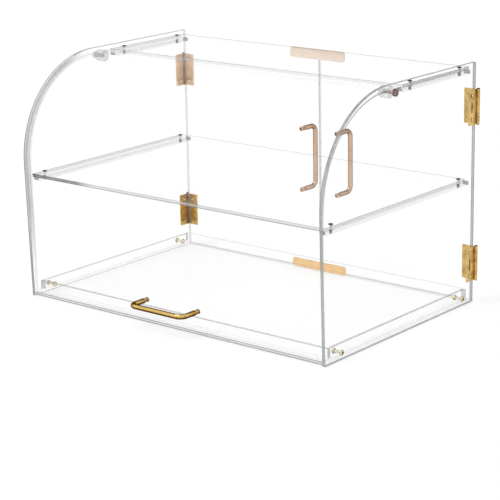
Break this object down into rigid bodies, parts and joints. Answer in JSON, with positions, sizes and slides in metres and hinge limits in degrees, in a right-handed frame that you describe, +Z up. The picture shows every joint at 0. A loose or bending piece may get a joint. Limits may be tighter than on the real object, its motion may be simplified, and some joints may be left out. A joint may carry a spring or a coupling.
{
  "type": "countertop display case",
  "caption": "Clear acrylic countertop pastry case with a curved lift-up front door, a shelf, a shallow tray, swinging back doors and brass hardware.",
  "frame": {"origin": "on the counter, below the middle of the whole case, its front and back handles included", "axes": "+X to the right seen from the front, +Y to the back, +Z up; the curved door faces -Y"},
  "size_m": [0.561, 0.422, 0.354],
  "materials": {
    "clear_acrylic": "clear, polished faces and edges",
    "gold_brass": "polished gold",
    "rose_brass": "polished rose gold",
    "pale_brass": "satin gold",
    "antique_brass": "brushed",
    "dark_brass": "dark",
    "magnet": "nickel plated"
  },
  "bodies": {
    "case": {"side_panel_left": "clear_acrylic", "side_panel_right": "clear_acrylic", "top_panel": "clear_acrylic", "top_panel_strip_left": "clear_acrylic", "top_panel_strip_right": "clear_acrylic", "shelf": "clear_acrylic", "shelf_strip_left": "clear_acrylic", "shelf_strip_right": "clear_acrylic", "floor_plate": "clear_acrylic", "tray_wall_front": "clear_acrylic", "tray_wall_back": "clear_acrylic", "tray_wall_left": "clear_acrylic", "tray_wall_right": "clear_acrylic", "top_panel_screw_front_left": "dark_brass", "top_panel_screw_front_right": "dark_brass", "top_panel_screw_back_left": "dark_brass", "top_panel_screw_back_right": "dark_brass", "shelf_screw_front_left": "dark_brass", "shelf_screw_front_right": "dark_brass", "shelf_screw_back_left": "dark_brass", "shelf_screw_back_right": "dark_brass", "tray_screw_front_left": "gold_brass", "tray_screw_front_right": "gold_brass", "tray_screw_back_left": "gold_brass", "tray_screw_back_right": "gold_brass", "strike_plate_top": "pale_brass", "strike_plate_bottom": "pale_brass", "hinge_lower_left_case_leaf": "antique_brass", "hinge_lower_right_case_leaf": "antique_brass", "hinge_upper_left_case_leaf": "antique_brass", "hinge_upper_right_case_leaf": "antique_brass", "hinge_lower_left_pin": "antique_brass", "hinge_lower_right_pin": "antique_brass", "hinge_upper_left_pin": "antique_brass", "hinge_upper_right_pin": "antique_brass"},
    "front_door_assembly": {"front_door": "clear_acrylic", "pivot_boss_left": "clear_acrylic", "pivot_boss_right": "clear_acrylic", "pivot_screw_left": "dark_brass", "pivot_screw_right": "dark_brass", "front_handle": "gold_brass", "front_handle_screw_left": "dark_brass", "front_handle_screw_right": "dark_brass"},
    "back_door_left_assembly": {"back_door_left": "clear_acrylic", "back_handle_left": "rose_brass", "back_handle_screw_lower_left": "dark_brass", "back_handle_screw_upper_left": "dark_brass", "door_magnet_lower_left": "magnet", "door_magnet_upper_left": "magnet", "hinge_lower_left_door_leaf": "antique_brass", "hinge_upper_left_door_leaf": "antique_brass"},
    "back_door_right_assembly": {"back_door_right": "clear_acrylic", "back_handle_right": "rose_brass", "back_handle_screw_lower_right": "dark_brass", "back_handle_screw_upper_right": "dark_brass", "door_magnet_lower_right": "magnet", "door_magnet_upper_right": "magnet", "hinge_lower_right_door_leaf": "antique_brass", "hinge_upper_right_door_leaf": "antique_brass"}
  },
  "joints": [
    {"name": "front_door_pivot", "type": "hinge", "parent": "case", "child": "front_door_assembly", "pos_m": [0, -0.02325, 0.3423], "axis": [-1, 0, 0], "range_deg": [0, 150]},
    {"name": "back_door_left_hinge", "type": "hinge", "parent": "case", "child": "back_door_left_assembly", "pos_m": [-0.2779, 0.18115, 0.17425], "axis": [0, 0, 1], "range_deg": [0, 250]},
    {"name": "back_door_right_hinge", "type": "hinge", "parent": "case", "child": "back_door_right_assembly", "pos_m": [0.2779, 0.18115, 0.17425], "axis": [0, 0, -1], "range_deg": [0, 250]}
  ]
}
